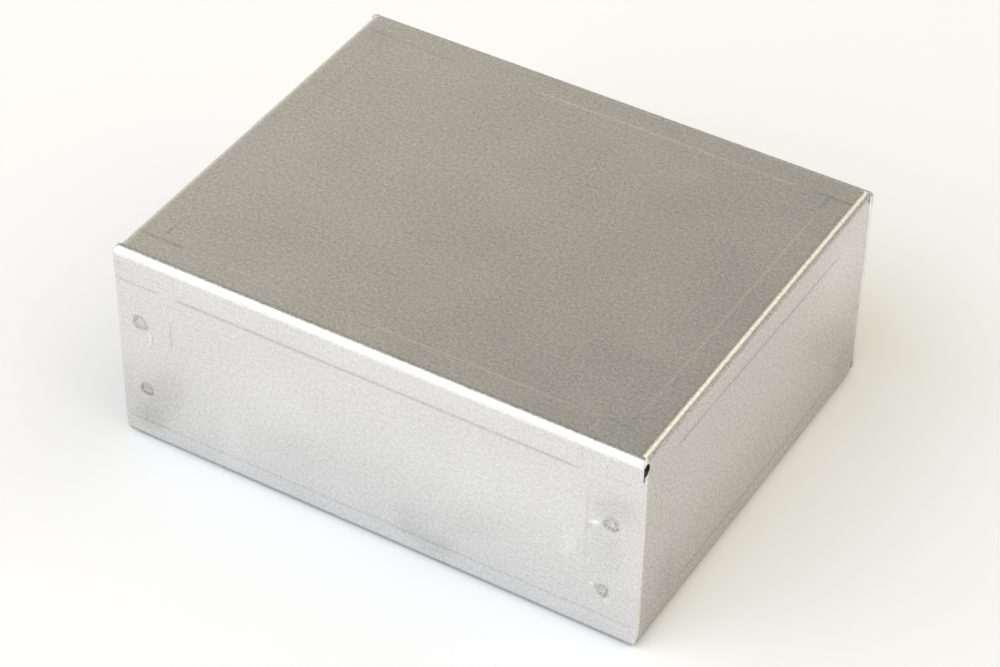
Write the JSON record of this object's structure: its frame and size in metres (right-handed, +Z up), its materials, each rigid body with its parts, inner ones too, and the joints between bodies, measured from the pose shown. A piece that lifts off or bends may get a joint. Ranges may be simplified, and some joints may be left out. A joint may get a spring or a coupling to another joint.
{
  "type": "electronics chassis",
  "caption": "Open-bottomed rectangular box folded from aluminium sheet, with lapped and spot-welded corners, round corner reliefs and inward flanges along the base.",
  "frame": {"origin": "centre of the base, on the plane that the four flanges rest on", "axes": "+X along the long walls towards the end wall that the picture shows, +Y from the front wall to the back wall, +Z up"},
  "size_m": [0.127, 0.1016, 0.0518],
  "materials": {
    "chassis": "plain rolled sheet, satin to matt, with faint press-brake marks along the folds"
  },
  "bodies": {
    "root": {"chassis": "chassis"}
  },
  "joints": []
}
